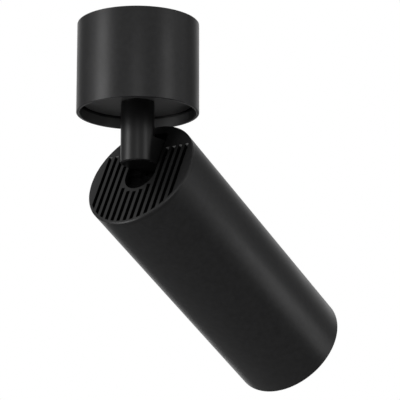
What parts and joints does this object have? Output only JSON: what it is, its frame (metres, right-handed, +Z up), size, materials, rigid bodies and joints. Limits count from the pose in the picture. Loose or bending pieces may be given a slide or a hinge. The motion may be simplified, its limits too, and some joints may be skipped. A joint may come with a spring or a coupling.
{
  "type": "ceiling spotlight",
  "caption": "Adjustable ceiling spotlight: a round canopy with a swivel stem and a long tube head that tilts on a hinge inside its slotted rear grille.",
  "frame": {"origin": "centre of the ceiling face of the canopy, midway between the two ceiling screw holes", "axes": "+Z up into the ceiling, +X the way the head tilts, +Y along the hinge pin"},
  "size_m": [0.177, 0.06, 0.1675],
  "materials": {
    "powder_black": "satin black powder coat on aluminium",
    "dark_steel": "black zinc-plated steel",
    "black_plastic": "moulded black plastic",
    "zinc_steel": "bright zinc-plated steel",
    "raw_aluminium": "bare extruded aluminium",
    "mirror_aluminium": "vapour-bright reflector",
    "white_plastic": "moulded white plastic",
    "phosphor": "yellow phosphor",
    "silicone": "soft silicone",
    "clear_glass": "clear toughened glass",
    "brass": "plain brass",
    "matt_black": "matt black anodised"
  },
  "bodies": {
    "canopy": {"canopy_shell": "powder_black", "ceiling_bracket": "zinc_steel", "side_screw": "dark_steel", "base_plate": "powder_black", "base_plate_nuts": "zinc_steel", "swivel_bush": "black_plastic", "thrust_washer": "white_plastic", "stop_pin": "zinc_steel", "driver_standoffs": "zinc_steel", "driver_tray": "zinc_steel", "led_driver": "white_plastic", "driver_screws": "zinc_steel", "terminal_block": "white_plastic", "terminal_screw": "zinc_steel", "earth_screw": "brass"},
    "stem": {"stem": "powder_black", "stop_washer": "zinc_steel", "spring_washer": "zinc_steel", "stem_nut": "zinc_steel"},
    "head": {"head_tube": "powder_black", "rear_grille": "powder_black", "mount_plate": "dark_steel", "mount_plate_screws": "zinc_steel", "hinge_ear_left": "dark_steel", "hinge_ear_right": "dark_steel", "ear_screws": "zinc_steel", "hinge_pin": "dark_steel", "hinge_nut": "dark_steel", "friction_washers": "white_plastic", "wire_grommet": "silicone", "heat_sink": "raw_aluminium", "heat_sink_screws": "zinc_steel", "thermal_pad": "silicone", "led_board": "raw_aluminium", "led_emitter": "phosphor", "led_holder": "white_plastic", "holder_screws": "zinc_steel", "reflector": "mirror_aluminium", "front_glass": "clear_glass", "glass_seal": "silicone", "front_baffle": "matt_black"}
  },
  "joints": [
    {"name": "swivel", "type": "hinge", "parent": "canopy", "child": "stem", "pos_m": [0, 0, -0.0382], "axis": [0, 0, 1], "range_deg": [-165, 165]},
    {"name": "tilt", "type": "hinge", "parent": "stem", "child": "head", "pos_m": [0.01575, 0, -0.06415], "axis": [0, -1, 0], "range_deg": [-63.4, 26.6]}
  ]
}
